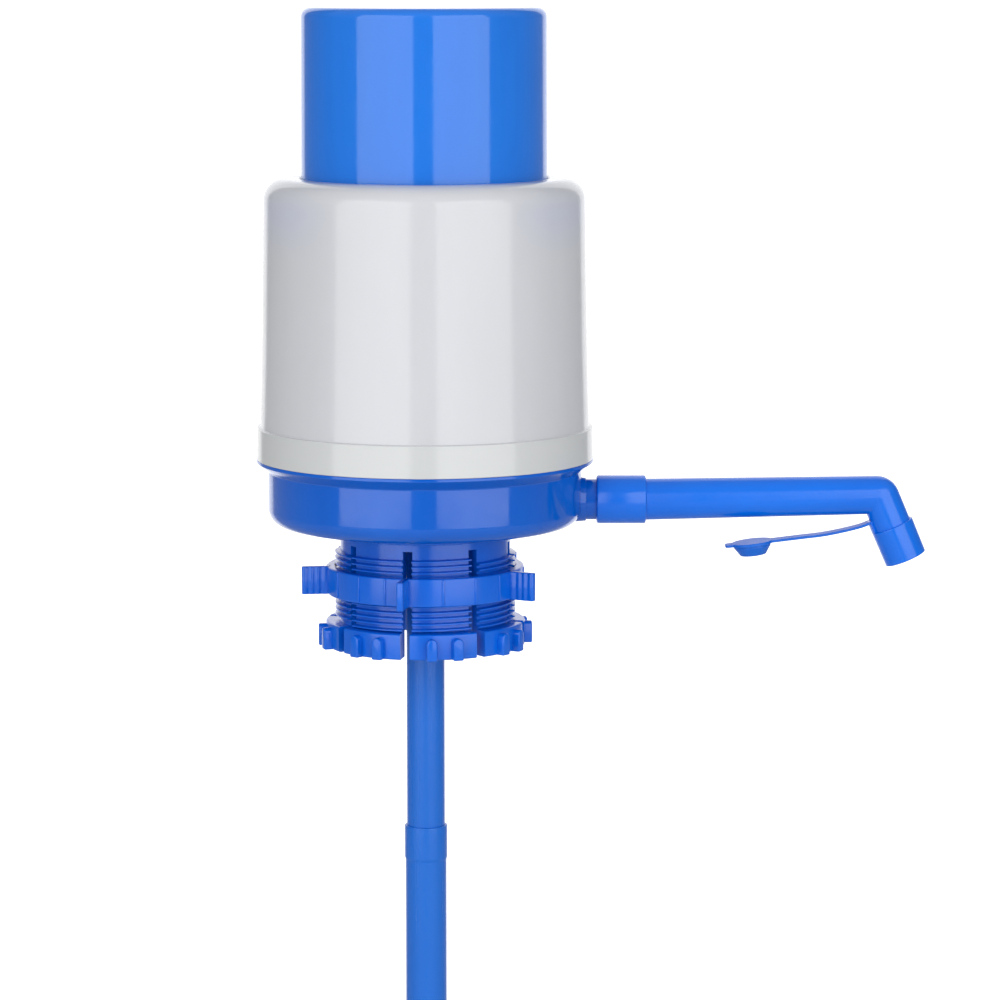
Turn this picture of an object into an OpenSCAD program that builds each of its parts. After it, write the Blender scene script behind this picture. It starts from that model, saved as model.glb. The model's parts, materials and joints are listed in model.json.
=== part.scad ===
// Hand pump for a large water jug. A press cap works a bellows that blows air into the jug.
// The water rises through the dip tube and leaves by the side spout.
// Millimetres. The origin is the centre of the jug's lip, where the gasket rests on it.
// Z points up and X points along the spout.

/* [Press cap and housing] */
// Outside radius of the press cap
cap_r = 44.5; // [37:0.1:54]
// Height of the cap's top face
cap_top = 192; // [161:0.5:235]
// Height of the housing's upper rim
rim_top = 131; // [110:0.5:158]
// How far the housing's foot band stands outside the cap
band_step = 16.8; // [14:0.1:20.2]
// Wall of the cap, the housing and the base
wall = 2; // [1.6:0.1:2.4]

/* [Base] */
// Height of the base's lip, where the housing stands
band_foot = 29.3; // [26:0.1:33.3]
// Height of the outlet's axis
outlet_z = 13.8; // [12.5:0.1:15]
// Outside radius of the outlet nozzle
nozzle_r = 7.4; // [6.6:0.1:8.9]
// Water bore of the outlet, the spout and the elbow
water_r = 5.2; // [4.3:0.1:5.6]

/* [Neck collar] */
// Bore of the collet, a little over the jug's neck
neck_r = 28.2; // [23.5:0.1:33.9]
// Length of the collet below the lip
collet_depth = 39.5; // [36:0.5:46.2]
// Width of the slots between the collet's fingers
slot_w = 4; // [2:0.1:5]
// Number of fingers
fingers = 8; // [6:1:10]
// Number of wings on the lock ring
wings = 5; // [3:1:6]

/* [Spout] */
// Distance from the pump's axis to the spout's elbow
spout_reach = 165.7; // [138:0.1:200]
// Length of the downward leg
leg_length = 25.3; // [24:0.1:34]
// Angle of the leg from straight down
leg_tilt = 23; // [10:1:30]
// Outside radius of the leg
leg_r = 7; // [6.4:0.1:8.4]
// Width of the plug's strap
strap_w = 6.5; // [4:0.5:9]

/* [Dip tube] */
// Outside radius of the push-in end of a tube section
tube_r = 7; // [6.4:0.1:8.4]
// Length of the upper section
upper_length = 127; // [90:1:160]
// Length of each lower section
lower_length = 170; // [120:1:204]

/* [Hidden] */

$fn = 96;
cap_blue = [0.13, 0.33, 0.80];
base_blue = [0.08, 0.28, 0.72];
spout_blue = [0.12, 0.45, 0.93];
milky_white = [0.88, 0.91, 0.93];
rubber_grey = [0.25, 0.27, 0.30];
plain_white = [0.93, 0.94, 0.94];
past = 1;
edge = 0.4;
seat_gap = 0.1;
push_gap = 0.05;
turn_gap = 0.1;
free_gap = 0.3;
small_fn = 32;

// housing
band_r = cap_r + band_step;
band_h = 11.7;
band_top = band_foot + band_h;
band_draft = 0.3;
body_low_in = 1.8;
body_low_r = band_r - body_low_in;
body_mid_in = 2.9;
body_mid_r = band_r - body_mid_in;
body_top_in = 4;
body_top_r = band_r - body_top_in;
body_mid_z = band_foot + 40.3;
shoulder_r = 8;
rim_round = 0.9;
cap_gap = 0.4;
guide_r = cap_r + cap_gap;
guide_wall = 2.4;
guide_depth = 10.7;
guide_foot = rim_top - guide_depth;

// cap and the stub that carries the bellows
cap_draft = 0.3;
cap_corner = 3.5;
cap_ceiling = cap_top - wall;
flange_step = 3;
flange_height = 3;
flange_top = guide_foot - free_gap;
flange_foot = flange_top - flange_height;
stub_depth = 7.5;
stub_foot = cap_ceiling - stub_depth;
stub_out_r = 15.6;
stub_in_r = 13.6;
stub_windows = 4;
window_w = 6;
window_h = 3.5;

// bellows and the plate it stands on
head_wall = 1.3;
head_top = stub_foot - seat_gap;
plate_foot = band_foot + free_gap;
plate_t = 3;
plate_top = plate_foot + plate_t;
bellows_clear = 2.2;
bellows_out = cap_r - wall - bellows_clear;
fold_depth = 7;
bellows_in = bellows_out - fold_depth;
bellows_wall = 0.9;
cuff_step = 2;
cuff_r = bellows_out - cuff_step;
cuff_h = 9;
shoulder_drop = 6;
folds = 11;
folds_foot = plate_top + cuff_h;
folds_top = head_top - shoulder_drop;
fold_pitch = (folds_top - folds_foot) / folds;
clamp_step = 5.7;
clamp_wall_in = bellows_out + clamp_step;
clamp_wall = 2;
clamp_wall_h = 8;
flange_clear = 0.4;
bellows_flange_r = clamp_wall_in - flange_clear;
bellows_flange_t = 1.5;
clamp_ring_r = clamp_wall_in - seat_gap;
clamp_clear = 0.6;
clamp_ring_in = cuff_r + clamp_clear;
clamp_ring_foot = plate_top + bellows_flange_t + seat_gap;
clamp_ring_h = 5;
clamp_round = 1;

// air valves
intake_seat_top = head_top - head_wall - seat_gap;
intake_plate = 2;
intake_foot = intake_seat_top - intake_plate;
intake_flange_r = 20;
intake_cup_wall = 1.6;
intake_spigot_r = stub_in_r - seat_gap;
intake_spigot_top = cap_ceiling - window_h - past;
air_hole_r = 1.8;
air_hole_ring = 7;
air_holes = 6;
stem_r = 1.5;
stem_head_r = 2.6;
stem_head_h = 1.4;
flap_t = 0.9;
valve_lift = 1.5;
intake_flap_r = 11;
delivery_ring = 8;
delivery_holes = 6;
delivery_hole_r = 2.2;
delivery_flap_r = 12;

// base
base_step = 4.2;
base_r = band_r - base_step;
plate_r = base_r - seat_gap;
spigot_r = band_r - wall - seat_gap;
spigot_wall = 2;
spigot_h = 8;
spigot_top = band_foot + spigot_h;
lip_h = 1.1;
taper_h = 6.2;
taper_foot = band_foot - taper_h;
bowl_corner = 6;
bowl_edge_z = 5.2;
gasket_t = 2.5;
gasket_w = 8.2;
gasket_in = neck_r - gasket_w;
floor_t = 2.5;
floor_top = gasket_t + floor_t;
sleeve_wall = 2.8;
groove_cover = 1.3;
groove_roof = outlet_z - nozzle_r - seat_gap;
groove_top = groove_roof - groove_cover;
groove_r = neck_r + sleeve_wall + seat_gap;
groove_wall = 2;
riser_wall = 2;
riser_r = tube_r + riser_wall;
riser_hole_r = riser_r + seat_gap;
riser_foot = -3;
riser_flange_step = 3;
riser_flange_r = riser_r + riser_flange_step;
riser_flange_t = 2;
socket_top = 8;
air_port_ring = (riser_flange_r + gasket_in) / 2;
air_port_r = 2.4;
air_ports = 6;
boss_step = 0.9;
boss_r = nozzle_r + boss_step;
boss_out = 1.5;
nozzle_length = 20.9;
nozzle_end = base_r + nozzle_length;
groove_back = 8;
groove_x = nozzle_end - groove_back;
ring_section = 1;

// spout, end sleeve, strap and plug
collar_stand = 5.3;
collar_start = base_r + collar_stand;
collar_length = 18;
collar_end = collar_start + collar_length;
collar_wall = 1.4;
collar_r = nozzle_r + collar_wall;
collar_chamfer = 0.7;
tube_root_step = 0.55;
tube_root_r = leg_r + tube_root_step;
spout_rise = 1.6;
elbow_z = outlet_z + spout_rise;
spout_pitch = atan2(spout_rise, spout_reach - collar_end);
spout_run = norm([spout_reach - collar_end, spout_rise]);
sleeve_length = 13.3;
mouth_depth = 5;
leg_end = leg_length - mouth_depth;
end_bore_r = leg_r + push_gap;
end_wall = 0.8;
end_sleeve_r = end_bore_r + end_wall;
end_taper = 0.15;
ear_rise = 4.6;
ear_t = 0.9;
strap_t = 0.9;
bead_r = 0.6;
bead_inset = 0.4;
strap_start = bead_r + free_gap;
strap_root_in = 2.7;
strap_root_down = 10.2;
strap_root = [spout_reach - strap_root_in, elbow_z - strap_root_down];
stub_length = 5.2;
link_a = 11.645;
link_b = 9.888;
tail = 17.646;
stub_heading = 196.2;
link_a_heading = 194;
link_b_heading = 186;
tail_heading = 187;
plug_clear = 0.35;
plug_r = end_bore_r - plug_clear;
plug_taper = 2;
plug_tip_r = plug_r - plug_taper;
plug_depth = 3.8;
plug_straight = 0.8;
plug_wall = 1.1;
lid_step = 1;
lid_r = plug_r + lid_step;
lid_t = 1.1;
tab_length = 2.2;

// collet and lock ring
collet_wall = 4.8;
thread_r = neck_r + collet_wall;
finger_step = 360 / fingers;
finger_turn = 9.6;
slot_top = -1;
thread_top = -4.3;
rim_foot = -collet_depth;
rim_h = 9.3;
rim_step = 3.4;
rim_r = thread_r + rim_step;
rim_round_r = 0.8;
rib_step = 2.8;
rib_r = rim_r + rib_step;
rib_w = 3.8;
rib_h = 7.3;
rib_spread = 8;
rib_sink = 1.5;
ring_top = -10.1;
ring_h = 10.2;
ring_foot = ring_top - ring_h;
ring_round = 0.6;
ring_wall = 3;
ring_r = thread_r + ring_wall;
wing_step = 9.3;
wing_r = ring_r + wing_step;
wing_t = 2.6;
wing_h = ring_h;
wing_turn = -100.7;
wing_sink = 1.5;

// dip tube
tube_wall = 1;
tube_top = socket_top - free_gap;
bell_depth = 12;
bell_step = 0.85;
bell_r = tube_r + bell_step;
tube_swell = 0.55;
body_tube_r = tube_r + tube_swell;
tube_slope = 1;
middle_top = tube_top - upper_length + bell_depth;
lower_top = middle_top - lower_length + bell_depth;
notch_w = 4;
notch_h = 5;

function unit(v) = v / norm(v);

// arc that rounds the corner q between its neighbours p and s
function corner_arc(p, q, s, r) =
  let (
    a = unit([p[0] - q[0], p[1] - q[1]]),
    b = unit([s[0] - q[0], s[1] - q[1]]),
    half = acos(a * b) / 2,
    reach = r / tan(half),
    centre = [q[0], q[1]] + unit(a + b) * r / sin(half),
    from = [q[0], q[1]] + a * reach - centre,
    to = [q[0], q[1]] + b * reach - centre,
    start = atan2(from[1], from[0]),
    sweep = (from[0] * to[1] - from[1] * to[0] > 0 ? 1 : -1) * (180 - 2 * half),
    steps = max(2, ceil(abs(sweep) / 12))
  )
  [for (k = [0:steps]) centre + r * [cos(start + sweep * k / steps), sin(start + sweep * k / steps)]];

// outline from corners [across, up] or [across, up, rounding]
function rounded(c) =
  [for (i = [0:len(c) - 1])
    each len(c[i]) == 2
      ? [c[i]]
      : corner_arc(c[(i + len(c) - 1) % len(c)], c[i], c[(i + 1) % len(c)], c[i][2])];

module turned(corners) {
  rotate_extrude() polygon(rounded(corners));
}

// ring of holes through a plate
module hole_ring(count, ring, r, foot, height) {
  for (k = [0:count - 1])
    rotate(k * 360 / count)
      translate([ring, 0, foot])
        cylinder(r = r, h = height, $fn = small_fn);
}

module press_cap() {
  color(cap_blue)
  difference() {
    turned([
      [0, cap_top],
      [cap_r - cap_draft, cap_top, cap_corner],
      [cap_r, flange_top],
      [cap_r + flange_step, flange_top],
      [cap_r + flange_step, flange_foot],
      [cap_r - wall, flange_foot],
      [cap_r - cap_draft - wall, cap_ceiling, cap_corner - wall],
      [stub_out_r, cap_ceiling],
      [stub_out_r, stub_foot],
      [stub_in_r, stub_foot],
      [stub_in_r, cap_ceiling],
      [0, cap_ceiling]
    ]);
    for (k = [0:stub_windows - 1])
      rotate(k * 360 / stub_windows)
        translate([stub_in_r - past, -window_w / 2, cap_ceiling - window_h])
          cube([stub_out_r - stub_in_r + 2 * past, window_w, window_h]);
  }
}

// plate with air holes that holds the bellows' head to the cap
module intake_seat() {
  color(plain_white)
  difference() {
    turned([
      [0, intake_foot],
      [intake_flange_r, intake_foot],
      [intake_flange_r, intake_seat_top],
      [intake_spigot_r, intake_seat_top],
      [intake_spigot_r, intake_spigot_top],
      [intake_spigot_r - intake_cup_wall, intake_spigot_top],
      [intake_spigot_r - intake_cup_wall, intake_seat_top],
      [0, intake_seat_top]
    ]);
    hole_ring(air_holes, air_hole_ring, air_hole_r, intake_foot - past, intake_plate + 2 * past);
    translate([0, 0, intake_foot - past])
      cylinder(r = stem_r + turn_gap, h = intake_plate + 2 * past, $fn = small_fn);
  }
}

// flap hanging under the plate at foot, held by a stem with a head above the plate
module hung_flap(r, foot, plate) {
  head_z = foot + plate + valve_lift + free_gap;
  turned([
    [0, foot - free_gap - flap_t],
    [r, foot - free_gap - flap_t],
    [r, foot - free_gap],
    [stem_r, foot - free_gap],
    [stem_r, head_z],
    [stem_head_r, head_z],
    [stem_r, head_z + stem_head_h],
    [0, head_z + stem_head_h]
  ]);
}

module intake_flap() {
  color(rubber_grey)
  hung_flap(intake_flap_r, intake_foot, intake_plate);
}

module bellows() {
  inner = bellows_in - bellows_wall;
  outer = bellows_out - bellows_wall;
  color(milky_white)
  rotate_extrude()
    polygon(concat(
      [
        [cuff_r - bellows_wall, plate_top],
        [bellows_flange_r, plate_top],
        [bellows_flange_r, plate_top + bellows_flange_t],
        [cuff_r, plate_top + bellows_flange_t],
        [cuff_r, folds_foot]
      ],
      [for (k = [0:folds - 1]) each [
        [bellows_in, folds_foot + (k + 0.1) * fold_pitch],
        [bellows_out, folds_foot + (k + 0.5) * fold_pitch],
        [bellows_in, folds_foot + (k + 0.9) * fold_pitch]
      ]],
      [
        [cuff_r, folds_top],
        [cuff_r, head_top],
        [intake_spigot_r + seat_gap, head_top],
        [intake_spigot_r + seat_gap, head_top - head_wall],
        [cuff_r - bellows_wall, head_top - head_wall],
        [cuff_r - bellows_wall, folds_top]
      ],
      [for (k = [folds - 1:-1:0]) each [
        [inner, folds_foot + (k + 0.9) * fold_pitch],
        [outer, folds_foot + (k + 0.5) * fold_pitch],
        [inner, folds_foot + (k + 0.1) * fold_pitch]
      ]],
      [[cuff_r - bellows_wall, folds_foot]]
    ));
}

module outer_body() {
  color(milky_white)
  turned([
    [guide_r, guide_foot],
    [guide_r, rim_top, rim_round],
    [body_top_r, rim_top, shoulder_r],
    [body_mid_r, body_mid_z],
    [body_low_r, band_top],
    [band_r - band_draft, band_top],
    [band_r, band_foot],
    [band_r - wall, band_foot],
    [band_r - wall, band_top - wall],
    [body_low_r - wall, band_top],
    [body_mid_r - wall, body_mid_z],
    [body_top_r - wall, rim_top - wall, shoulder_r - wall],
    [guide_r + guide_wall, rim_top - wall],
    [guide_r + guide_wall, guide_foot]
  ]);
}

module base_pan() {
  color(base_blue)
  difference() {
    union() {
      turned([
        [spigot_r, band_foot],
        [band_r, band_foot],
        [band_r, band_foot - lip_h],
        [base_r, taper_foot],
        [base_r, bowl_edge_z, bowl_corner],
        [groove_r + groove_wall, 0],
        [groove_r, 0],
        [groove_r, groove_top],
        [neck_r, groove_top],
        [neck_r, gasket_t],
        [riser_hole_r, gasket_t],
        [riser_hole_r, floor_top],
        [neck_r - wall, floor_top],
        [neck_r - wall, groove_roof],
        [groove_r + groove_wall, groove_roof],
        [groove_r + groove_wall, wall],
        [base_r - wall, bowl_edge_z + wall, bowl_corner - wall],
        [base_r - wall, plate_foot],
        [spigot_r - spigot_wall, plate_foot],
        [spigot_r - spigot_wall, spigot_top],
        [spigot_r, spigot_top]
      ]);
      translate([base_r - wall, 0, outlet_z])
        rotate([0, 90, 0])
          cylinder(r = boss_r, h = boss_out + wall);
    }
    translate([base_r - 2 * boss_r, 0, outlet_z])
      rotate([0, 90, 0])
        cylinder(r = nozzle_r + seat_gap, h = 4 * boss_r);
    hole_ring(air_ports, air_port_ring, air_port_r, gasket_t - past, floor_t + 2 * past);
  }
}

// plate that closes the base and carries the bellows
module valve_plate() {
  color(plain_white)
  difference() {
    turned([
      [0, plate_foot],
      [plate_r, plate_foot],
      [plate_r, plate_top],
      [clamp_wall_in + clamp_wall, plate_top],
      [clamp_wall_in + clamp_wall, plate_top + clamp_wall_h],
      [clamp_wall_in, plate_top + clamp_wall_h],
      [clamp_wall_in, plate_top],
      [0, plate_top]
    ]);
    hole_ring(delivery_holes, delivery_ring, delivery_hole_r, plate_foot - past, plate_t + 2 * past);
    translate([0, 0, plate_foot - past])
      cylinder(r = stem_r + turn_gap, h = plate_t + 2 * past, $fn = small_fn);
  }
}

// threaded ring that presses the bellows' flange on the plate
module bellows_clamp_ring() {
  color(base_blue)
  turned([
    [clamp_ring_in, clamp_ring_foot],
    [clamp_ring_r, clamp_ring_foot],
    [clamp_ring_r, clamp_ring_foot + clamp_ring_h],
    [clamp_ring_in, clamp_ring_foot + clamp_ring_h, clamp_round]
  ]);
}

module delivery_flap() {
  color(rubber_grey)
  hung_flap(delivery_flap_r, plate_foot, plate_t);
}

// channel that leads the water from the dip tube to the side outlet
module outlet_elbow() {
  color(base_blue)
  difference() {
    union() {
      translate([0, 0, riser_foot])
        cylinder(r = riser_r, h = outlet_z - riser_foot);
      translate([0, 0, outlet_z])
        sphere(r = riser_r);
      translate([0, 0, floor_top])
        cylinder(r = riser_flange_r, h = riser_flange_t);
      translate([0, 0, outlet_z])
        rotate([0, 90, 0])
          cylinder(r = nozzle_r, h = nozzle_end);
    }
    translate([0, 0, riser_foot - past])
      cylinder(r = tube_r + push_gap, h = socket_top - riser_foot + past);
    translate([0, 0, riser_foot])
      cylinder(r = water_r, h = outlet_z - riser_foot);
    translate([0, 0, outlet_z])
      sphere(r = water_r);
    translate([0, 0, outlet_z])
      rotate([0, 90, 0])
        cylinder(r = water_r, h = nozzle_end + past);
    translate([groove_x - ring_section - seat_gap, 0, outlet_z])
      rotate([0, 90, 0])
        difference() {
          cylinder(r = nozzle_r + past, h = 2 * (ring_section + seat_gap));
          cylinder(r = nozzle_r - ring_section, h = 2 * (ring_section + seat_gap));
        }
  }
}

module outlet_o_ring() {
  color(rubber_grey)
  translate([groove_x, 0, outlet_z])
    rotate([0, 90, 0])
      rotate_extrude()
        translate([nozzle_r - ring_section / 2 + seat_gap / 2, 0])
          circle(r = ring_section / 2, $fn = small_fn);
}

// place things along the leg, which starts at the elbow's centre and points down
module along_leg(distance) {
  translate([spout_reach, 0, elbow_z])
    rotate([0, 180 - leg_tilt, 0])
      translate([0, 0, distance])
        children();
}

module along_spout() {
  translate([collar_end, 0, outlet_z])
    rotate([0, 90 - spout_pitch, 0])
      children();
}

module spout() {
  color(spout_blue)
  difference() {
    union() {
      translate([collar_start, 0, outlet_z])
        rotate([0, 90, 0])
          turned([
            [0, 0],
            [collar_r - collar_chamfer, 0],
            [collar_r, collar_chamfer],
            [collar_r, collar_end - collar_start - collar_chamfer / 2],
            [collar_r - collar_chamfer / 2, collar_end - collar_start],
            [0, collar_end - collar_start]
          ]);
      along_spout()
        cylinder(r1 = tube_root_r, r2 = leg_r, h = spout_run);
      translate([spout_reach, 0, elbow_z])
        sphere(r = leg_r);
      along_leg(0)
        cylinder(r = leg_r, h = leg_end);
    }
    translate([collar_start - past, 0, outlet_z])
      rotate([0, 90, 0])
        cylinder(r = nozzle_r + turn_gap, h = nozzle_end + free_gap - collar_start + past);
    translate([collar_start, 0, outlet_z])
      rotate([0, 90, 0])
        cylinder(r = water_r, h = collar_end - collar_start);
    translate([collar_end, 0, outlet_z])
      sphere(r = water_r);
    along_spout()
      cylinder(r = water_r, h = spout_run);
    translate([spout_reach, 0, elbow_z])
      sphere(r = water_r);
    along_leg(0)
      cylinder(r = water_r, h = leg_end + past);
  }
}

// point reached from p by going a length along a heading, in the XZ plane
function step_to(p, length, heading) = p + length * [cos(heading), sin(heading)];

hinge_one = step_to(strap_root, stub_length, stub_heading);
hinge_two = step_to(hinge_one, link_a, link_a_heading);
hinge_three = step_to(hinge_two, link_b, link_b_heading);
plug_centre = step_to(hinge_three, tail, tail_heading);

// flat strip of strap from a point in the XZ plane along a heading
module strip(p, heading, length) {
  translate([p[0], 0, p[1]])
    rotate([0, -heading, 0])
      translate([0, -strap_w / 2, -strap_t / 2])
        cube([length, strap_w, strap_t]);
}

// round bead across the strap, on the axis about which it bends
module bead(p) {
  translate([p[0], strap_w / 2 - bead_inset, p[1]])
    rotate([90, 0, 0])
      cylinder(r = bead_r, h = strap_w - 2 * bead_inset, $fn = small_fn);
}

// sleeve at the spout's end, with the root of the strap
module spout_sleeve() {
  color(spout_blue)
  difference() {
    union() {
      along_leg(leg_length - sleeve_length)
        turned([
          [end_bore_r, 0],
          [end_sleeve_r, 0, edge],
          [end_sleeve_r - end_taper, sleeve_length],
          [end_bore_r, sleeve_length]
        ]);
      along_leg(leg_length - sleeve_length - ear_rise)
        translate([leg_r - past, -strap_w / 2, 0])
          cube([ear_t + past, strap_w, ear_rise + past]);
      strip(strap_root, stub_heading, stub_length);
      bead(hinge_one);
    }
    along_leg(0)
      cylinder(r = end_bore_r, h = leg_length + past);
  }
}

module strap_link_upper() {
  color(spout_blue)
  union() {
    strip(step_to(hinge_one, strap_start, link_a_heading), link_a_heading, link_a - strap_start);
    bead(hinge_two);
  }
}

module strap_link_lower() {
  color(spout_blue)
  union() {
    strip(step_to(hinge_two, strap_start, link_b_heading), link_b_heading, link_b - strap_start);
    bead(hinge_three);
  }
}

// plug with its lid, finger tab and the last of the strap
module plug_cap() {
  color(spout_blue)
  union() {
    translate([plug_centre[0], 0, plug_centre[1]])
      rotate([0, 180 - tail_heading, 0])
        turned([
          [0, -lid_t / 2],
          [plug_r - plug_wall, -lid_t / 2],
          [plug_tip_r - plug_wall, -lid_t / 2 - plug_depth],
          [plug_tip_r, -lid_t / 2 - plug_depth],
          [plug_r, -lid_t / 2 - plug_straight],
          [plug_r, -lid_t / 2],
          [lid_r, -lid_t / 2],
          [lid_r, lid_t / 2, edge],
          [0, lid_t / 2]
        ]);
    strip(step_to(hinge_three, strap_start, tail_heading), tail_heading, tail - plug_tip_r);
    strip(plug_centre, tail_heading, lid_r + tab_length);
  }
}

// flat seal between the jug's lip and the base
module lip_gasket() {
  color(rubber_grey)
  turned([
    [gasket_in, 0],
    [neck_r - seat_gap, 0],
    [neck_r - seat_gap, gasket_t],
    [gasket_in, gasket_t]
  ]);
}

// slotted collet that the lock ring squeezes on the neck
module collet_sleeve() {
  color(base_blue)
  difference() {
    union() {
      turned([
        [neck_r + seat_gap, groove_top - seat_gap],
        [neck_r + sleeve_wall, groove_top - seat_gap],
        [neck_r + sleeve_wall, thread_top],
        [thread_r, thread_top, edge],
        [thread_r, rim_foot + rim_h],
        [rim_r, rim_foot + rim_h, rim_round_r],
        [rim_r, rim_foot, rim_round_r],
        [neck_r + seat_gap, rim_foot]
      ]);
      for (k = [0:fingers - 1])
        for (side = [-1, 1])
          rotate(finger_turn + k * finger_step + side * rib_spread)
            finger_rib();
    }
    for (k = [0:fingers - 1])
      rotate(finger_turn + (k - 0.5) * finger_step)
        translate([0, -slot_w / 2, rim_foot - past])
          cube([rib_r + past, slot_w, slot_top - rim_foot + past]);
  }
}

// grip rib on the collet's rim, with a rounded top
module finger_rib() {
  intersection() {
    translate([rim_r - rib_sink, 0, rim_foot])
      rotate([0, 90, 0])
        union() {
          translate([-(rib_h - rib_w / 2), -rib_w / 2, 0])
            cube([rib_h - rib_w / 2, rib_w, rib_step + rib_sink]);
          translate([-(rib_h - rib_w / 2), 0, 0])
            cylinder(r = rib_w / 2, h = rib_step + rib_sink, $fn = small_fn);
        }
    translate([0, 0, rim_foot])
      cylinder(r = rib_r, h = rib_h);
  }
}

// winged nut that runs on the collet's thread
module lock_ring() {
  bore = thread_r + turn_gap;
  color(base_blue)
  difference() {
    union() {
      turned([
        [bore, ring_foot],
        [ring_r, ring_foot, ring_round],
        [ring_r, ring_top, ring_round],
        [bore, ring_top]
      ]);
      for (k = [0:wings - 1])
        rotate(wing_turn + k * 360 / wings)
          translate([0, 0, ring_foot])
            wing();
    }
    translate([0, 0, ring_foot - past])
      cylinder(r = bore, h = ring_top - ring_foot + 2 * past);
  }
}

// one upright wing, rounded along its outer edge
module wing() {
  translate([ring_r - wing_sink, -wing_t / 2, 0])
    cube([wing_r - wing_t / 2 - ring_r + wing_sink, wing_t, wing_h]);
  translate([wing_r - wing_t / 2, 0, 0])
    cylinder(r = wing_t / 2, h = wing_h, $fn = small_fn);
}

module dip_tube_upper() {
  color(spout_blue)
  translate([0, 0, tube_top - upper_length])
    difference() {
      cylinder(r = tube_r, h = upper_length);
      translate([0, 0, -past])
        cylinder(r = tube_r - tube_wall, h = upper_length + 2 * past);
    }
}

// tube section with a bell at the top that takes the section above it
module belled_section(foot) {
  color(spout_blue)
  translate([0, 0, foot])
    turned([
      [tube_r - tube_wall, 0],
      [tube_r, 0],
      [tube_r, bell_depth],
      [body_tube_r, bell_depth + tube_slope],
      [body_tube_r, lower_length - bell_depth - tube_slope],
      [bell_r, lower_length - bell_depth],
      [bell_r, lower_length],
      [tube_r + push_gap, lower_length],
      [tube_r + push_gap, lower_length - bell_depth],
      [tube_r - tube_wall, lower_length - bell_depth]
    ]);
}

module dip_tube_middle() {
  belled_section(middle_top - lower_length);
}

// last section, notched so that it draws water while it stands on the jug's floor
module dip_tube_lower() {
  tube_foot = lower_top - lower_length;
  color(spout_blue)
  difference() {
    belled_section(tube_foot);
    for (turn = [0, 90])
      rotate(turn)
        translate([-bell_r, -notch_w / 2, tube_foot - past])
          cube([2 * bell_r, notch_w, notch_h + past]);
  }
}

press_cap();
intake_seat();
intake_flap();
bellows();
outer_body();
base_pan();
valve_plate();
bellows_clamp_ring();
delivery_flap();
outlet_elbow();
outlet_o_ring();
spout();
spout_sleeve();
strap_link_upper();
strap_link_lower();
plug_cap();
lip_gasket();
collet_sleeve();
lock_ring();
dip_tube_upper();
dip_tube_middle();
dip_tube_lower();
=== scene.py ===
import json
import math

import bmesh
import bpy
from mathutils import Matrix, Vector


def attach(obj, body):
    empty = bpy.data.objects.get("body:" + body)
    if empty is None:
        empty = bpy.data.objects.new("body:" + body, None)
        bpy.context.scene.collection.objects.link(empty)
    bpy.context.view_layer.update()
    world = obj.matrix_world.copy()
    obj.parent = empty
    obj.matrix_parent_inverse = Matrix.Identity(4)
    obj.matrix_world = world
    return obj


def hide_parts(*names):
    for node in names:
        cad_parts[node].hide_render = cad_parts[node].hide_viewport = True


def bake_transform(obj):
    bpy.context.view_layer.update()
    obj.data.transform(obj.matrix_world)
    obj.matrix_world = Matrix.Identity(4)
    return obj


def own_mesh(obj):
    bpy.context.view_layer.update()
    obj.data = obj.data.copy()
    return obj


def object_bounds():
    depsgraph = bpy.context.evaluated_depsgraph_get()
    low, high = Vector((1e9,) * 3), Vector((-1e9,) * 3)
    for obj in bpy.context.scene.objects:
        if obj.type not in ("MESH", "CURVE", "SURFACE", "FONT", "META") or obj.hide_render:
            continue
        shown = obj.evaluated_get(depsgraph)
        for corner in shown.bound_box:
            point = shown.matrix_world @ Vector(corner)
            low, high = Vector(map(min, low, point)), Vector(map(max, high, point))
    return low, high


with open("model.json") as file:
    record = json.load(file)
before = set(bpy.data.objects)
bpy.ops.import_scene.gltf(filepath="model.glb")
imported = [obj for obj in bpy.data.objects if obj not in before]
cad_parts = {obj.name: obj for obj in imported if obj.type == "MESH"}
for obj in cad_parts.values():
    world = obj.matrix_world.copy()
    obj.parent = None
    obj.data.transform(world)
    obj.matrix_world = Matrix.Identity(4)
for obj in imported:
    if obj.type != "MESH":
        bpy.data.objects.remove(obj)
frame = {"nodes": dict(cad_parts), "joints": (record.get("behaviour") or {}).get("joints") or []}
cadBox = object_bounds()
mm = 0.001
print("frame loaded,", len(frame["nodes"]), "nodes")


# nodes, for shaders and for geometry

class Wire:
    # a node's output that takes part in Python's sums
    def __init__(self, graph, socket):
        self.graph = graph
        self.socket = socket

    def sum(self, operation, first, second):
        return self.graph.make("ShaderNodeMath", {"operation": operation}, {0: first, 1: second})

    def __add__(self, other):
        return self.sum("ADD", self, other)

    def __radd__(self, other):
        return self.sum("ADD", other, self)

    def __sub__(self, other):
        return self.sum("SUBTRACT", self, other)

    def __rsub__(self, other):
        return self.sum("SUBTRACT", other, self)

    def __mul__(self, other):
        return self.sum("MULTIPLY", self, other)

    def __rmul__(self, other):
        return self.sum("MULTIPLY", other, self)

    def __truediv__(self, other):
        return self.sum("DIVIDE", self, other)

    def __rtruediv__(self, other):
        return self.sum("DIVIDE", other, self)

    def __abs__(self):
        return self.sum("ABSOLUTE", self, 0.0)


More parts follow.
